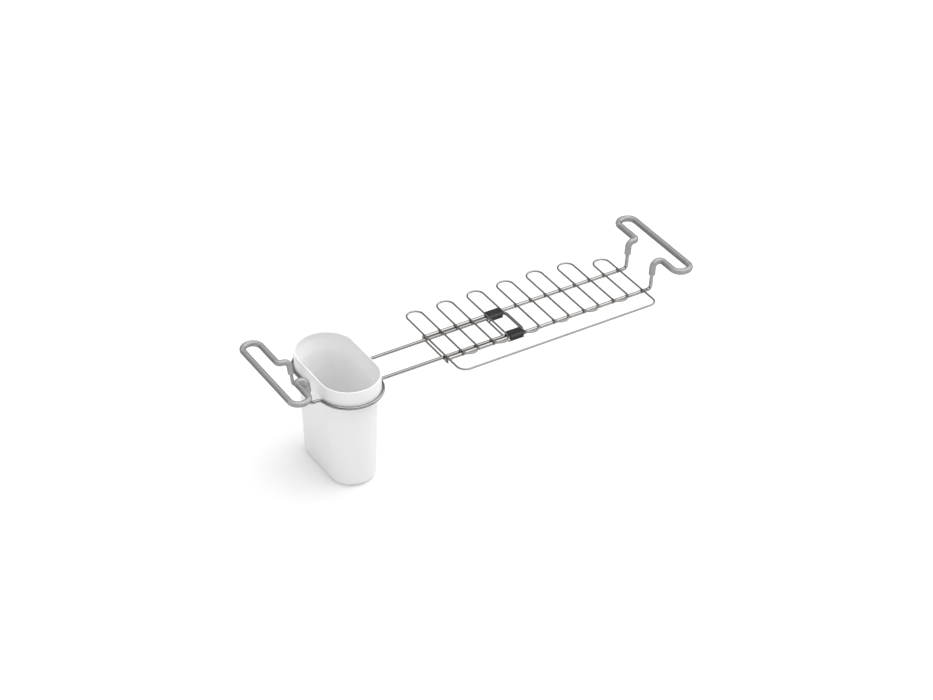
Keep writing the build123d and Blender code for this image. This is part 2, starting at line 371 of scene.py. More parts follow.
# %% Slider rod
crossbar_x = -219.26
bay_corner = 39.38
rear_bay_y = cup_y + cup_straight / 2 + bay_radius
rear_route = [
    (crossbar_x, rails_centre_y, rail_z),
    (crossbar_x, slider_rear_y, rail_z),
    (cup_x + bay_radius, slider_rear_y, rail_z),
    (cup_x + bay_radius, rear_bay_y, rail_z),
    (cup_x - bay_radius, rear_bay_y, rail_z),
    (cup_x - bay_radius, slider_rear_y, rail_z),
    (slider_foot_x, slider_rear_y, rail_z),
    *slider_hook,
    (slider_foot_x, slider_front_y, rail_z),
    (cup_x - bay_radius - slider_bend, slider_front_y, rail_z),
]
rear_bends = [slider_bend, slider_bend, bay_corner, bay_corner, slider_bend, riser_bend]
rear_line = bent_line(rear_route, [*rear_bends, *slider_bends, riser_bend])
front_route = [
    (cup_x + bay_radius + slider_bend, slider_front_y, rail_z),
    (crossbar_x, slider_front_y, rail_z),
    (crossbar_x, rails_centre_y, rail_z),
]
front_line = bent_line(front_route, [slider_bend])
slider_line = without_repeats(rear_line[:-1] + bay_line + front_line[1:-1])
slider_rings = swept_rings(slider_line, [slider_rod_radius] * len(slider_line), closed=True)
slider_rod = ring_mesh("slider_rod_bent", slider_rings, closed=True)
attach(slider_rod, "slider")
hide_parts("slider_rod")
print("slider rod:", len(slider_rod.data.polygons), "faces")

# %% [markdown]
# ## The grid and its welds
# One wire runs to and fro over the rails. Where it crosses a rail the two are pressed together and
# welded by a current, which squeezes out a small low bead. The beads are lens-shaped: round seen from
# above and flat between wire and rail, so they are made as squashed spheres with a little unevenness.

# %% Grid wire
long_reach, last_but_one_reach, last_reach = 49.6, 44.7, 29.0
loop_reaches = [long_reach] * 5 + [last_but_one_reach, last_reach]
front_bend_reach = 9.0
towel_bar_start = 3.6
towel_bar_reach = 35.0
loop_bend = 10.5
towel_bar_bends = [12.0, 10.0]
front_bend_y = deck_front_y - front_bend_reach
towel_bar_start_y = deck_front_y - towel_bar_start
towel_bar_y = deck_front_y - towel_bar_reach


def leg_x(number):
    """Place of a grid leg, counted from 0 at the open end."""
    return first_leg_x + number * leg_pitch


grid_route = [(leg_x(0), towel_bar_start_y, grid_z)]
for loop, reach in enumerate(loop_reaches):
    left_x, right_x = leg_x(2 * loop), leg_x(2 * loop + 1)
    grid_route += [(left_x, deck_rear_y + reach, grid_z), (right_x, deck_rear_y + reach, grid_z)]
    if loop < len(loop_reaches) - 1:
        grid_route += [(right_x, front_bend_y, grid_z), (right_x + leg_pitch, front_bend_y, grid_z)]
grid_route.append((last_leg_x, towel_bar_start_y, grid_z))
grid_line = bent_line(grid_route, [loop_bend] * (len(grid_route) - 2))

towel_route = [
    (first_leg_x, towel_bar_start_y, grid_z),
    (first_leg_x, towel_bar_y, grid_z),
    (last_leg_x, towel_bar_y, grid_z),
    (last_leg_x, towel_bar_start_y, grid_z),
]
towel_line = bent_line(towel_route, towel_bar_bends)
for node, line in (("grid_wire", grid_line), ("towel_bar", towel_line)):
    rings = swept_rings(line, [wire_radius] * len(line))
    piece = ring_mesh(node + "_bent", rings, sides=wire_sides)
    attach(piece, "deck")
    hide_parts(node)
    print(node, "has", len(piece.data.polygons), "faces")

# %% Cross wires under the rails
cross_wire_reach = 3.0
cross_wire_soften = 0.2
cross_wire_legs = {"deck_end_cross_wire": 0, "deck_mid_cross_wire": 4}
for name, number in cross_wire_legs.items():
    ends = [
        Vector((leg_x(number), deck_front_y - cross_wire_reach, cross_wire_z)),
        Vector((leg_x(number), deck_rear_y + cross_wire_reach, cross_wire_z)),
    ]
    rings = rod_rings(ends, wire_radius, cross_wire_soften)
    piece = ring_mesh(name + "_cut", rings, sides=wire_sides)
    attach(piece, "deck")
    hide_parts(name)
print("two cross wires,", round((ends[1] - ends[0]).length, 1), "mm long")


# %% Weld beads
bead_spread, bead_height, bead_sink = 1.75, 0.75, 0.25
bead_ripple = 0.08


def add_bead(mesh, centre, number):
    """A low lens of squeezed-out metal. The number makes each one a little different."""
    ball = bmesh.ops.create_icosphere(mesh, subdivisions=3, radius=1)
    for vert in ball["verts"]:
        ripple = 1 + bead_ripple * sin(5 * vert.co.x + number) * cos(4 * vert.co.y - number)
        flat = vert.co * Vector((bead_spread, bead_spread, bead_height))
        vert.co = (centre + flat * ripple) * MM


beads = bmesh.new()
rails_y = (deck_rear_y, deck_front_y)
crossings = [(leg_x(i), y, 1) for i in range(leg_count) for y in rails_y]
crossings += [(leg_x(i), y, -1) for i in cross_wire_legs.values() for y in rails_y]
for number, (x, y, side) in enumerate(crossings):
    contact = rail_z + side * (deck_rod_radius - bead_sink)
    add_bead(beads, Vector((x, y, contact)), number)
weld_beads = object_from(beads, "weld_beads")
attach(weld_beads, "deck")
print(len(crossings), "welds")

# %% [markdown]
# ## The hook sleeves
# Soft vinyl tube is pushed over each hook so that it grips the sink and doesn't scratch it. It has low
# ribs across it on the level bars. In the bends the vinyl is stretched smooth and on the risers it is
# plain, so the ribs fade out there. The ribs are real geometry: the radius of the rings goes up and down
# along the line. On the inside of the front neck of the cup's hook the vinyl bunches up, so there the
# rings grow and shift inwards. At both ends the tube is cut square, with a slightly swollen lip.
# Two numbers are stored on every point for the finish: "bar" says how ribbed the tube is there, and
# "valley" how deep the point lies between two ribs.

# %% Ribbed sleeve
sleeve_wall = 1.6
rib_pitch = 3.1
rib_depth = 0.2
rings_per_rib = 8
rib_step = rib_pitch / rings_per_rib
sleeve_sides = 28
sleeve_bore_gap = 0.02
sleeve_turn_degrees = 3.0
stretched_turn = 0.25
most_stretched = 0.85
lip_steps = (-0.55, -0.12, 0.05, 0.05, 0.0)


def bend_at(points, i, span):
    """How much the line turns within a short span round a point, in radians."""
    low, high = max(i - span, 0), min(i + span, len(points) - 1)
    if i - low < 1 or high - i < 1:
        return 0.0
    return (points[i] - points[low]).angle(points[high] - points[i])


def way_at(points, i):
    """Unit direction of the line at a point."""
    return (points[min(i + 1, len(points) - 1)] - points[max(i - 1, 0)]).normalized()


def bunched(point, way, most):
    """How far the front neck's vinyl swells at a point, and its shift to the inside."""
    amount = most * 2 * abs(way.z) * sqrt(1 - way.z**2)
    if point.y >= rails_centre_y or amount == 0:
        return 0.0, Vector((0, 0, 0))
    inwards = (way * way.z - Vector((0, 0, 1))).normalized()
    return amount, inwards * amount


def sleeve_rings(corners, bends, rod_radius, most_bunched):
    """Outer rings with ribs, then inner rings back again, and each ring's bar and valley numbers."""
    line = even_steps(bent_line(corners, bends, sleeve_turn_degrees), rib_step)
    outer = rod_radius + sleeve_wall
    radii, centres, bars, valleys = [], [], [], []
    for i, point in enumerate(line):
        way = way_at(line, i)
        stretched = min(1.0, bend_at(line, i, rings_per_rib) / stretched_turn)
        wave = 0.5 - 0.5 * cos(2 * pi * i / rings_per_rib)
        swelling, shift = bunched(point, way, most_bunched)
        bars.append((1 - abs(way.z)) * (1 - most_stretched * stretched))
        valleys.append(bars[i] * wave**2)
        radii.append(outer + swelling - rib_depth * valleys[i])
        centres.append(point + shift)
    for i, lip_step in enumerate(lip_steps):
        radii[i] = radii[-1 - i] = outer + lip_step
    outside = swept_rings(centres, radii)
    inside = swept_rings(line, [rod_radius + sleeve_bore_gap] * len(line))
    rings = outside + inside[::-rings_per_rib] + inside[:1]
    plain = [0.0] * (len(rings) - len(outside))
    return rings, {"bar": bars + plain, "valley": valleys + plain}


print("a rib has", rings_per_rib, "rings,", round(rib_step, 3), "mm apart")


# %% The two sleeves
def sleeve_corners(hook, foot_x, drop):
    """The hook's corners between two points this far down its risers."""
    riser_x, _, hook_z = hook[0]
    down = Vector(((foot_x - riser_x) * drop / (hook_z - rail_z), 0, -drop))
    return [Vector(hook[0]) + down, *hook, Vector(hook[-1]) + down]


deck_sleeve_drop = 17.0
slider_sleeve_drop = 19.5
slider_bunched = 1.3
deck_sleeve = sleeve_corners(deck_hook, deck_foot_x, deck_sleeve_drop)
slider_sleeve = sleeve_corners(slider_hook, slider_foot_x, slider_sleeve_drop)
sleeves = (
    ("deck_hook_sleeve", "deck", deck_sleeve, deck_bends, deck_rod_radius, 0.0),
    ("cup_hook_sleeve", "slider", slider_sleeve, slider_bends, slider_rod_radius, slider_bunched),
)
for name, body, corners, bends, rod_radius, most_bunched in sleeves:
    rings, numbers = sleeve_rings(corners, bends, rod_radius, most_bunched)
    piece = ring_mesh(name + "_ribbed", rings, closed=True, sides=sleeve_sides)
    for label, per_ring in numbers.items():
        stored = piece.data.attributes.new(label, "FLOAT", "POINT")
        values = [number for number in per_ring for _ in range(sleeve_sides)]
        stored.data.foreach_set("value", values)
    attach(piece, body)
    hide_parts(name)
    print(name, "has", len(piece.data.polygons), "faces")

# %% [markdown]
# ## The cup
# The cup is moulded: every wall leans a little so that it slips off the mould. Seen from above it is a
# slot, two half circles joined by straight sides. A profile of radius and height describes it all, from
# the middle of the bottom, up the outside, over the rim and down to the middle of the floor inside, and
# each pair makes one slot-shaped ring. Corners of the profile are rounded before the rings are made.

# %% Cup profile
rim_z = -12.3
rim_radius = 38.0
rim_wall = 1.8
lip_rounding = 0.85
cup_bottom_z = -157.8
cup_floor_z = -155.2
foot_radius, foot_wall = 28.83, 2.1
hub_radius = 1.0
collar_z, neck_z = -34.27, -37.2
cup_profile = [
    # radius, height, rounding
    (hub_radius, cup_bottom_z, 0.0),
    (foot_radius, cup_bottom_z, 7.5),
    (33.45, neck_z, 0.6),
    (33.55, collar_z, 0.5),
    (37.0, collar_z, 0.4),
    (rim_radius, -32.12, 1.2),
    (rim_radius, rim_z, lip_rounding),
    (rim_radius - rim_wall, rim_z, lip_rounding),
    (rim_radius - rim_wall, -20.0, 16.0),
    (31.4, -35.5, 24.0),
    (foot_radius - foot_wall, cup_floor_z, 5.3),
    (hub_radius, cup_floor_z, 0.0),
]


def rounded_profile(rows, step_degrees=9.0):
    """Profile points with each corner rounded by its own radius."""
    corners = [(radius, 0, height) for radius, height, _ in rows]
    roundings = [rounding for _, _, rounding in rows[1:-1]]
    return bent_line(corners, roundings, step_degrees)


def slot_outline(radius, arc_steps=28, side_steps=6):
    """Points round a slot of this end radius, and long across the rack."""
    half = cup_straight / 2
    points = []
    for end in (1, -1):
        for k in range(arc_steps + 1):
            angle = pi * k / arc_steps + (0 if end > 0 else pi)
            points.append((cup_x + radius * cos(angle), cup_y + end * half + radius * sin(angle)))
        for k in range(1, side_steps):
            y = cup_y + end * half * (1 - 2 * k / side_steps)
            points.append((cup_x - end * radius, y))
    return points


profile = rounded_profile(cup_profile)
print("cup profile has", len(profile), "points")

# %% Cup mesh
cup_mesh = bmesh.new()
cup_loops = []
for point in profile:
    outline = slot_outline(point.x)
    cup_loops.append([cup_mesh.verts.new(Vector((x, y, point.z)) * MM) for x, y in outline])
join_loops(cup_mesh, cup_loops)
cup_mesh.faces.new(reversed(cup_loops[0]))
cup_mesh.faces.new(cup_loops[-1])
soaking_cup = object_from(cup_mesh, "soaking_cup_moulded")
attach(soaking_cup, "cup")
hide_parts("soaking_cup")
print("cup:", len(soaking_cup.data.polygons), "faces")

# %% [markdown]
# ## Shared effects
# Three effects turn up in more than one finish, so each is a node group: an unevenness that shifts
# colour or gloss a little from place to place, the fine lines that drawing leaves along a rod, and the
# dull warm tint round a weld, partly the tint that heat leaves and partly painted shade where wire and
# rail cross.


# %% Helpers for node trees
def add_node(tree, kind, values=None, **settings):
    """A node with its settings and unlinked input values."""
    node = tree.nodes.new(kind)
    for key, value in settings.items():
        setattr(node, key, value)
    for socket, value in (values or {}).items():
        node.inputs[socket].default_value = value
    return node


def new_group(name, inputs, outputs):
    """A shader node group. Inputs are name to (type, default), outputs are name to type."""
    group = bpy.data.node_groups.new(name, "ShaderNodeTree")
    for label, (kind, value) in inputs.items():
        socket = group.interface.new_socket(label, in_out="INPUT", socket_type=kind)
        socket.default_value = value
    for label, kind in outputs.items():
        group.interface.new_socket(label, in_out="OUTPUT", socket_type=kind)
    return group, group.nodes.new("NodeGroupInput"), group.nodes.new("NodeGroupOutput")


def place_group(tree, group, values=None):
    """A group node in a material, with this material's own values."""
    return add_node(tree, "ShaderNodeGroup", values, node_tree=group)


def colour_mix(tree, **colours):
    """A mix of two colours, A and B. One that isn't given here gets a link."""
    values = {side: (*colour, 1) for side, colour in colours.items()}
    return add_node(tree, "ShaderNodeMix", values, data_type="RGBA")


print("four helpers are ready")

# %% Unevenness
FLOAT = "NodeSocketFloat"
usual_noise = {"From Min": 0.3, "From Max": 0.7}
uneven, uneven_in, uneven_out = new_group(
    "unevenness",
    {"Scale": (FLOAT, 60.0), "Low": (FLOAT, 0.2), "High": (FLOAT, 0.3), "Seed": (FLOAT, 0.0)},
    {"Value": FLOAT, "Mask": FLOAT},
)
place = add_node(uneven, "ShaderNodeTexCoord")
noise_values = {"Detail": 5.0, "Roughness": 0.6}
noise = add_node(uneven, "ShaderNodeTexNoise", noise_values, noise_dimensions="4D")
spread = add_node(uneven, "ShaderNodeMapRange", usual_noise)
mask = add_node(uneven, "ShaderNodeMapRange", usual_noise)
uneven.links.new(place.outputs["Object"], noise.inputs["Vector"])
uneven.links.new(uneven_in.outputs["Scale"], noise.inputs["Scale"])
uneven.links.new(uneven_in.outputs["Seed"], noise.inputs["W"])
uneven.links.new(noise.outputs["Fac"], spread.inputs["Value"])
uneven.links.new(noise.outputs["Fac"], mask.inputs["Value"])
uneven.links.new(uneven_in.outputs["Low"], spread.inputs["To Min"])
uneven.links.new(uneven_in.outputs["High"], spread.inputs["To Max"])
uneven.links.new(spread.outputs["Result"], uneven_out.inputs["Value"])
uneven.links.new(mask.outputs["Result"], uneven_out.inputs["Mask"])
print(uneven.name, "has", len(uneven.nodes), "nodes")

# %% Drawn lines
drawn, drawn_in, drawn_out = new_group(
    "drawn_lines", {"Fineness": (FLOAT, 2600.0), "Stretch": (FLOAT, 0.02)}, {"Height": FLOAT}
)
skin_place = add_node(drawn, "ShaderNodeAttribute", attribute_name="skin")
parts = add_node(drawn, "ShaderNodeSeparateXYZ")
squeeze = add_node(drawn, "ShaderNodeMath", operation="MULTIPLY")
joined = add_node(drawn, "ShaderNodeCombineXYZ")
lines = add_node(drawn, "ShaderNodeTexNoise", {"Detail": 3.0, "Roughness": 0.55})
drawn.links.new(skin_place.outputs["Vector"], parts.inputs["Vector"])
drawn.links.new(parts.outputs["Z"], squeeze.inputs[0])
drawn.links.new(drawn_in.outputs["Stretch"], squeeze.inputs[1])
drawn.links.new(parts.outputs["X"], joined.inputs["X"])
drawn.links.new(parts.outputs["Y"], joined.inputs["Y"])
drawn.links.new(squeeze.outputs["Value"], joined.inputs["Z"])
drawn.links.new(joined.outputs["Vector"], lines.inputs["Vector"])
drawn.links.new(drawn_in.outputs["Fineness"], lines.inputs["Scale"])
drawn.links.new(lines.outputs["Fac"], drawn_out.inputs["Height"])
print(drawn.name, "has", len(drawn.nodes), "nodes")

# %% Distance to a weld
weld_reach = 0.0027
weld_tint_and_shade, weld_in, weld_out = new_group(
    "weld_tint_and_shade",
    {"Along X": (FLOAT, 1.0), "Spread": (FLOAT, weld_reach)},
    {"Mask": FLOAT},
)
weld_place = add_node(weld_tint_and_shade, "ShaderNodeTexCoord")
weld_xyz = add_node(weld_tint_and_shade, "ShaderNodeSeparateXYZ")
weld_tint_and_shade.links.new(weld_place.outputs["Object"], weld_xyz.inputs["Vector"])


def distance_to_legs():
    """How far a point is from the nearest grid leg, along the rack."""
    shifted = add_node(weld_tint_and_shade, "ShaderNodeMath", {1: -first_leg_x * MM}, operation="ADD")
    folded = add_node(weld_tint_and_shade, "ShaderNodeMath", {1: leg_pitch * MM / 2}, operation="PINGPONG")
    weld_tint_and_shade.links.new(weld_xyz.outputs["X"], shifted.inputs[0])
    weld_tint_and_shade.links.new(shifted.outputs["Value"], folded.inputs[0])
    return folded.outputs["Value"]


def distance_to_rails():
    """How far a point is from the nearer deck rail, across the rack."""
    centred = add_node(weld_tint_and_shade, "ShaderNodeMath", {1: -rails_centre_y * MM}, operation="ADD")
    unsigned = add_node(weld_tint_and_shade, "ShaderNodeMath", operation="ABSOLUTE")
    half = (deck_rear_y - deck_front_y) / 2 * MM
    offset = add_node(weld_tint_and_shade, "ShaderNodeMath", {1: half}, operation="SUBTRACT")
    size = add_node(weld_tint_and_shade, "ShaderNodeMath", operation="ABSOLUTE")
    weld_tint_and_shade.links.new(weld_xyz.outputs["Y"], centred.inputs[0])
    weld_tint_and_shade.links.new(centred.outputs["Value"], unsigned.inputs[0])
    weld_tint_and_shade.links.new(unsigned.outputs["Value"], offset.inputs[0])
    weld_tint_and_shade.links.new(offset.outputs["Value"], size.inputs[0])
    return size.outputs["Value"]


legs_away = distance_to_legs()
rails_away = distance_to_rails()
print("both distances take", len(weld_tint_and_shade.nodes) - 2, "nodes")

# %% Weld tint and painted shade
weld_core = 0.001
chosen = add_node(weld_tint_and_shade, "ShaderNodeMix", data_type="FLOAT")
fade_out = {"From Min": weld_core, "To Min": 1.0, "To Max": 0.0}
fade = add_node(weld_tint_and_shade, "ShaderNodeMapRange", fade_out, interpolation_type="SMOOTHSTEP")
weld_tint_and_shade.links.new(weld_in.outputs["Along X"], chosen.inputs["Factor"])
weld_tint_and_shade.links.new(rails_away, chosen.inputs["A"])
weld_tint_and_shade.links.new(legs_away, chosen.inputs["B"])
weld_tint_and_shade.links.new(chosen.outputs["Result"], fade.inputs["Value"])
weld_tint_and_shade.links.new(weld_in.outputs["Spread"], fade.inputs["From Max"])
weld_tint_and_shade.links.new(fade.outputs["Result"], weld_out.inputs["Mask"])
print("node groups:", [group.name for group in bpy.data.node_groups])

# %% [markdown]
# ## Polished steel
# Stainless rod is bright but not a mirror. Its gloss comes from a metallic Principled shader with a low
# roughness that wanders, and the drawn lines add a very low bump. Near a weld the metal is duller and a
# little browner, partly heat tint and partly painted shade where wire and rail cross, so colour and
# roughness both follow the weld mask.


# %% Steel material
roughness_wander = 0.1
darker_share = 0.86
# Heat tint and painted shade: round each crossing of wire and rail the steel is darker and browner.
weld_tint_and_shade_colour = (0.19, 0.178, 0.165)
weld_roughness = 0.38


def steel(name, colour, roughness, weld_along_x=None):
    """Polished drawn steel. weld_along_x is 1 for a rail, 0 for a wire and None for no welds."""
    material = bpy.data.materials.new(name)
    material.use_nodes = True
    tree = material.node_tree
    shader = tree.nodes["Principled BSDF"]
    shader.inputs["Metallic"].default_value = 1.0
    roughest = roughness + roughness_wander
    gloss = place_group(tree, uneven, {"Scale": 45.0, "Low": roughness, "High": roughest})
    lines_node = place_group(tree, drawn, {"Fineness": 1900.0, "Stretch": 0.03})
    bump = add_node(tree, "ShaderNodeBump", {"Strength": 0.25, "Distance": 0.00004})
    shade = colour_mix(tree, A=colour, B=[darker_share * value for value in colour])
    tree.links.new(gloss.outputs["Mask"], shade.inputs["Factor"])
    tree.links.new(lines_node.outputs["Height"], bump.inputs["Height"])
    tree.links.new(bump.outputs["Normal"], shader.inputs["Normal"])
    colour_out, rough_out = shade.outputs["Result"], gloss.outputs["Value"]
    if weld_along_x is not None:
        weld = place_group(tree, weld_tint_and_shade, {"Along X": weld_along_x})
        tinted_and_shaded = colour_mix(tree, B=weld_tint_and_shade_colour)
        duller = add_node(tree, "ShaderNodeMix", {"B": weld_roughness}, data_type="FLOAT")
        for blend, source in ((tinted_and_shaded, colour_out), (duller, rough_out)):
            tree.links.new(weld.outputs["Mask"], blend.inputs["Factor"])
            tree.links.new(source, blend.inputs["A"])
        colour_out, rough_out = tinted_and_shaded.outputs["Result"], duller.outputs["Result"]
    tree.links.new(colour_out, shader.inputs["Base Color"])
    tree.links.new(rough_out, shader.inputs["Roughness"])
    return material


deck_steel = steel(
    "deck_steel_polished", colour=(0.45, 0.436, 0.427), roughness=0.09, weld_along_x=1.0
)
slider_steel = steel("slider_steel_polished", colour=(0.36, 0.347, 0.339), roughness=0.09)
wire_steel = steel(
    "wire_steel_polished", colour=(0.385, 0.374, 0.367), roughness=0.1, weld_along_x=0.0
)
print("steel finishes:", [finish.name for finish in (deck_steel, slider_steel, wire_steel)])

# %% [markdown]
# ## Grey vinyl
# Soft vinyl has a broad, weak shine and a slightly cloudy colour. A fine grain in the bump breaks up
# the highlight. On the ribbed bars the colour carries painted light and shade: it is painted paler where
# the surface faces up and deeper where it faces down, and painted shade darkens the valleys between the
# ribs. Both masks come from the numbers stored on the points, so they stay in step with the ribs'
# geometry.
# A plain shiny surface would get very bright at its outline. Vinyl has a soft skin that doesn't, so the
# shine is a weak glossy layer of constant strength, and painted shade darkens the colour towards the
# outline.

# %% Colours of the vinyl
vinyl = bpy.data.materials.new("grey_vinyl_ribbed")
vinyl.use_nodes = True
tree = vinyl.node_tree
shader = tree.nodes["Principled BSDF"]
shader.inputs["Specular IOR Level"].default_value = 0.0
cloud = place_group(tree, uneven, {"Scale": 70.0, "Low": 0.28, "High": 0.4})
base = colour_mix(tree, A=(0.285, 0.278, 0.278), B=(0.355, 0.347, 0.345))
facing = add_node(tree, "ShaderNodeNewGeometry")
facing_parts = add_node(tree, "ShaderNodeSeparateXYZ")
# Painted light and shade: on the ribbed bars the colour is paler where the surface faces up and deeper
# where it faces down.
painted_light_from_above = add_node(tree, "ShaderNodeMapRange", {"From Min": 0.35, "From Max": 0.95})
painted_light_and_shade = colour_mix(tree, A=(0.2, 0.196, 0.195), B=(0.4, 0.392, 0.39))
bar = add_node(tree, "ShaderNodeAttribute", attribute_name="bar")
bars_painted_light = colour_mix(tree)
# Painted shade: the valleys between the ribs are darkened.
valley = add_node(tree, "ShaderNodeAttribute", attribute_name="valley")
valley_shade = colour_mix(tree, B=(0.07, 0.068, 0.067))
# Painted shade: the colour darkens towards the outline.
slant = add_node(tree, "ShaderNodeLayerWeight", {"Blend": 0.5})
outline_shade_range = {"From Min": 0.33, "From Max": 0.7, "To Min": 0.0, "To Max": 0.75}
outline = add_node(tree, "ShaderNodeMapRange", outline_shade_range)
outline_shaded = colour_mix(tree, B=(0.09, 0.088, 0.087))
tree.links.new(cloud.outputs["Mask"], base.inputs["Factor"])
tree.links.new(facing.outputs["Normal"], facing_parts.inputs["Vector"])
tree.links.new(facing_parts.outputs["Z"], painted_light_from_above.inputs["Value"])
tree.links.new(painted_light_from_above.outputs["Result"], painted_light_and_shade.inputs["Factor"])
tree.links.new(bar.outputs["Fac"], bars_painted_light.inputs["Factor"])
tree.links.new(base.outputs["Result"], bars_painted_light.inputs["A"])
tree.links.new(painted_light_and_shade.outputs["Result"], bars_painted_light.inputs["B"])
tree.links.new(valley.outputs["Fac"], valley_shade.inputs["Factor"])
tree.links.new(bars_painted_light.outputs["Result"], valley_shade.inputs["A"])
tree.links.new(slant.outputs["Facing"], outline.inputs["Value"])
tree.links.new(outline.outputs["Result"], outline_shaded.inputs["Factor"])
tree.links.new(valley_shade.outputs["Result"], outline_shaded.inputs["A"])
tree.links.new(outline_shaded.outputs["Result"], shader.inputs["Base Color"])
print(vinyl.name, "has", len(tree.nodes), "nodes for its colour")

# %% Shine and grain of the vinyl
shine = add_node(tree, "ShaderNodeBsdfGlossy", {"Color": (0.11, 0.108, 0.107, 1)})
coated = add_node(tree, "ShaderNodeAddShader")
place = add_node(tree, "ShaderNodeTexCoord")
grain = add_node(tree, "ShaderNodeTexNoise", {"Scale": 2600.0, "Detail": 2.0})
bump = add_node(tree, "ShaderNodeBump", {"Strength": 0.35, "Distance": 0.00006})
tree.links.new(place.outputs["Object"], grain.inputs["Vector"])
tree.links.new(grain.outputs["Fac"], bump.inputs["Height"])
tree.links.new(bump.outputs["Normal"], shader.inputs["Normal"])
tree.links.new(cloud.outputs["Value"], shader.inputs["Roughness"])
tree.links.new(cloud.outputs["Value"], shine.inputs["Roughness"])
tree.links.new(bump.outputs["Normal"], shine.inputs["Normal"])
tree.links.new(shader.outputs["BSDF"], coated.inputs[0])
tree.links.new(shine.outputs["BSDF"], coated.inputs[1])
tree.links.new(coated.outputs["Shader"], tree.nodes["Material Output"].inputs["Surface"])
print(vinyl.name, "has", len(tree.nodes), "nodes with its shine")

# %% [markdown]
# ## White plastic and black plastic
# The cup is glossy polypropylene: nearly white, with a faint cloudiness and the slight orange peel that
# a mould leaves. The clips are dull black nylon with a fine spark-eroded grain.


# %% Moulded plastics
def moulded_plastic(name, light, dark, gloss, grain_scale, grain_depth):
    """A moulded plastic with clouded colour, wandering gloss and a fine grain."""
    low, high = gloss
    material = bpy.data.materials.new(name)
    material.use_nodes = True
    tree = material.node_tree
    shader = tree.nodes["Principled BSDF"]
    cloud = place_group(tree, uneven, {"Scale": 25.0, "Low": low, "High": high, "Seed": 3.0})
    place = add_node(tree, "ShaderNodeTexCoord")
    grain = add_node(tree, "ShaderNodeTexNoise", {"Scale": grain_scale, "Detail": 2.0})
    bump = add_node(tree, "ShaderNodeBump", {"Strength": 0.3, "Distance": grain_depth})
    base = colour_mix(tree, A=light, B=dark)
    tree.links.new(place.outputs["Object"], grain.inputs["Vector"])
    tree.links.new(grain.outputs["Fac"], bump.inputs["Height"])
    tree.links.new(bump.outputs["Normal"], shader.inputs["Normal"])
    tree.links.new(cloud.outputs["Mask"], base.inputs["Factor"])
    tree.links.new(base.outputs["Result"], shader.inputs["Base Color"])
    tree.links.new(cloud.outputs["Value"], shader.inputs["Roughness"])
    return material


white_plastic = moulded_plastic(
    "white_plastic_moulded",
    light=(0.93, 0.93, 0.93),
    dark=(0.91, 0.91, 0.915),
    gloss=(0.28, 0.36),
    grain_scale=900.0,
    grain_depth=0.00002,
)
black_plastic = moulded_plastic(
    "black_plastic_moulded",
    light=(0.02, 0.0195, 0.0195),
    dark=(0.012, 0.012, 0.0125),
    gloss=(0.32, 0.45),
    grain_scale=2400.0,
    grain_depth=0.00005,
)
print("plastics:", white_plastic.name, "and", black_plastic.name)

# %% [markdown]
# ## Giving each piece its finish
# The two clips stay as the solid model has them. A weld of double points and a small bevel soften their
# moulded edges without changing the mesh underneath.

# %% Assign materials
bevel_width = 0.00018
bevel_angle = radians(30)
same_point = 0.00001
finishes = {
    "deck_rod_bent": deck_steel,
    "slider_rod_bent": slider_steel,
    "grid_wire_bent": wire_steel,
    "towel_bar_bent": wire_steel,
    "deck_end_cross_wire_cut": wire_steel,
    "deck_mid_cross_wire_cut": wire_steel,
    "weld_beads": wire_steel,
    "deck_hook_sleeve_ribbed": vinyl,
    "cup_hook_sleeve_ribbed": vinyl,
    "soaking_cup_moulded": white_plastic,
}
for name, material in finishes.items():
    bpy.data.objects[name].data.materials.append(material)

for name in ("rear_slide_clip", "front_slide_clip"):
    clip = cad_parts[name]
    for slot in clip.material_slots:
        slot.material = black_plastic
    clip.modifiers.new("join", "WELD").merge_threshold = same_point
    soften = clip.modifiers.new("soften", "BEVEL")
    soften.width = bevel_width
    soften.segments = 2
    soften.limit_method = "ANGLE"
    soften.angle_limit = bevel_angle
    soften.harden_normals = True
print(len(finishes), "finishes assigned")

# %% [markdown]
# ## Camera
# The camera stands where the photographer's did. Its place was worked out from the parallel rails and
# wires, and the lens is long, so the far hook is hardly smaller than the near one.

# %% Camera
lens_mm = 102.5
camera_place = (-1.6403, -2.2524, 1.7986)
looks_down = 35.211
turned_right = 31.0755
camera_data = bpy.data.cameras.new("camera")
camera_data.sensor_fit = "HORIZONTAL"
camera_data.sensor_width = 36.0
camera_data.lens = lens_mm
camera_data.clip_start = 0.05
camera_data.clip_end = 50.0
camera = bpy.data.objects.new("camera", camera_data)
camera.location = camera_place
camera.rotation_euler = (radians(90 - looks_down), 0, radians(-turned_right))
bpy.context.scene.collection.objects.link(camera)
bpy.context.scene.camera = camera
print("camera is", round(camera.location.length, 2), "m from the frame's origin")

# %% [markdown]
# ## Floor and light
# The cup stands just on a white table. The camera sees a touch more light from the table than it sends
# out, so that the open table is pure white while the soft shadow under the cup stays, and a mirroring
# surface sees a quarter of that. Four wide, even lamps from far away and an even fill light the matt
# surfaces: a strong one overhead and weaker ones from the front, the left and the right.
# Polished steel shows its surroundings rather than the light that falls on it. So the lamps are hidden
# from mirroring rays, and the world gives those rays a room of its own: a white softbox overhead, a
# second one on the right, grey walls, and darkness in front on the left. That is what gives a round
# steel rod its light middle and darker edges. The camera itself sees plain white.

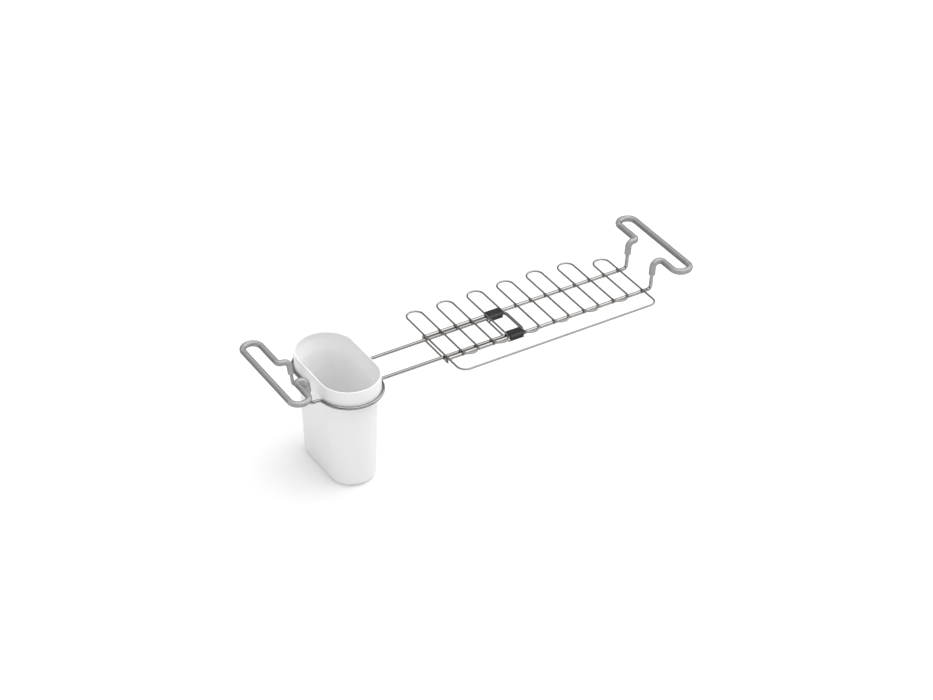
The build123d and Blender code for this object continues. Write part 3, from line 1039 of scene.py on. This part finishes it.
# %% Floor
floor_half = 6.0
floor_gap = 0.0002
floor_z = cup_bottom_z * MM - floor_gap
table_tone = 0.74
camera_lift = 0.23
mirrored_share = 0.25
floor_mesh = bmesh.new()
floor_signs = ((-1, -1), (1, -1), (1, 1), (-1, 1))
floor_corners = [(x * floor_half, y * floor_half, floor_z) for x, y in floor_signs]
floor_mesh.faces.new([floor_mesh.verts.new(corner) for corner in floor_corners])
floor = object_from(floor_mesh, "table_top")
floor_material = bpy.data.materials.new("white_table")
floor_material.use_nodes = True
tree = floor_material.node_tree
tree.nodes.clear()
output = add_node(tree, "ShaderNodeOutputMaterial")
matt = add_node(tree, "ShaderNodeBsdfDiffuse", {"Color": (table_tone, table_tone, table_tone, 1)})
lift = add_node(tree, "ShaderNodeEmission", {"Color": (1, 1, 1, 1)})
rays = add_node(tree, "ShaderNodeLightPath")
mirrored = add_node(tree, "ShaderNodeMath", {1: mirrored_share}, operation="MULTIPLY")
seen_or_mirrored = add_node(tree, "ShaderNodeMath", operation="MAXIMUM")
amount = add_node(tree, "ShaderNodeMath", {1: camera_lift}, operation="MULTIPLY")
total = add_node(tree, "ShaderNodeAddShader")
tree.links.new(rays.outputs["Is Camera Ray"], seen_or_mirrored.inputs[0])
tree.links.new(rays.outputs["Is Glossy Ray"], mirrored.inputs[0])
tree.links.new(mirrored.outputs["Value"], seen_or_mirrored.inputs[1])
tree.links.new(seen_or_mirrored.outputs["Value"], amount.inputs[0])
tree.links.new(amount.outputs["Value"], lift.inputs["Strength"])
tree.links.new(matt.outputs["BSDF"], total.inputs[0])
tree.links.new(lift.outputs["Emission"], total.inputs[1])
tree.links.new(total.outputs["Shader"], output.inputs["Surface"])
floor.data.materials.append(floor_material)
print("table top lies at", round(floor_z / MM, 2), "mm")

# %% Room for mirroring rays
world = bpy.data.worlds.new("studio")
bpy.context.scene.world = world
world.use_nodes = True
tree = world.node_tree
tree.nodes.clear()
wall_tone = 0.38
around = add_node(tree, "ShaderNodeTexCoord")


def tone_towards(direction, start, end, tone_away, tone_there):
    """A tone that changes softly as a ray turns towards a direction, from start to end of its cosine."""
    nearness = add_node(tree, "ShaderNodeVectorMath", {1: direction}, operation="DOT_PRODUCT")
    tones = {"From Min": start, "From Max": end, "To Min": tone_away, "To Max": tone_there}
    ramp = add_node(tree, "ShaderNodeMapRange", tones, interpolation_type="SMOOTHSTEP")
    tree.links.new(around.outputs["Generated"], nearness.inputs[0])
    tree.links.new(nearness.outputs["Value"], ramp.inputs["Value"])
    return ramp.outputs["Result"]


overhead = tone_towards((0.1, -0.25, 0.96), 0.62, 0.93, wall_tone, 2.1)
on_the_right = tone_towards((0.86, -0.1, 0.5), 0.82, 0.94, wall_tone, 2.2)
front_left = tone_towards((-0.66, -0.7, 0.25), 0.8, 0.95, 1.0, 0.1)
brighter = add_node(tree, "ShaderNodeMath", operation="MAXIMUM")
tone = add_node(tree, "ShaderNodeMath", operation="MULTIPLY")
tree.links.new(overhead, brighter.inputs[0])
tree.links.new(on_the_right, brighter.inputs[1])
tree.links.new(brighter.outputs["Value"], tone.inputs[0])
tree.links.new(front_left, tone.inputs[1])
print("the room takes", len(tree.nodes), "nodes")

# %% World for each kind of ray
fill_strength = 0.38
output = add_node(tree, "ShaderNodeOutputWorld")
seen = add_node(tree, "ShaderNodeBackground", {"Color": (1, 1, 1, 1), "Strength": 1.0})
fill = add_node(tree, "ShaderNodeBackground", {"Color": (1, 1, 1, 1), "Strength": fill_strength})
mirrored = add_node(tree, "ShaderNodeBackground", {"Color": (1, 1, 1, 1)})
rays = add_node(tree, "ShaderNodeLightPath")
lit_or_mirrored = add_node(tree, "ShaderNodeMixShader")
all_rays = add_node(tree, "ShaderNodeMixShader")
tree.links.new(tone.outputs["Value"], mirrored.inputs["Strength"])
tree.links.new(rays.outputs["Is Glossy Ray"], lit_or_mirrored.inputs["Fac"])
tree.links.new(fill.outputs["Background"], lit_or_mirrored.inputs[1])
tree.links.new(mirrored.outputs["Background"], lit_or_mirrored.inputs[2])
tree.links.new(rays.outputs["Is Camera Ray"], all_rays.inputs["Fac"])
tree.links.new(lit_or_mirrored.outputs["Shader"], all_rays.inputs[1])
tree.links.new(seen.outputs["Background"], all_rays.inputs[2])
tree.links.new(all_rays.outputs["Shader"], output.inputs["Surface"])
print(world.name, "has", len(tree.nodes), "nodes")


# %% Lamps
lamp_away = 2


def soft_sun(name, direction, strength, spread_degrees):
    """An even light from far away, as wide as a softbox seen from the table. Steel doesn't mirror it."""
    data = bpy.data.lights.new(name, "SUN")
    data.energy = strength
    data.angle = radians(spread_degrees)
    lamp = bpy.data.objects.new(name, data)
    way = Vector(direction).normalized()
    lamp.location = way * lamp_away
    lamp.rotation_mode = "QUATERNION"
    lamp.rotation_quaternion = (-way).to_track_quat("-Z", "Y")
    lamp.visible_glossy = False
    bpy.context.scene.collection.objects.link(lamp)


lamps = (
    # name, direction it comes from, strength, width in degrees
    ("overhead_softbox", (0.42, 0.05, 0.9), 2.25, 74),
    ("front_softbox", (0.15, -0.65, 0.75), 0.55, 60),
    ("left_fill", (-0.95, -0.1, 0.25), 0.85, 60),
    ("right_fill", (0.85, -0.35, 0.4), 0.2, 60),
)
for row in lamps:
    soft_sun(*row)
bpy.context.scene.view_settings.view_transform = "Standard"
print(len(lamps), "lamps")
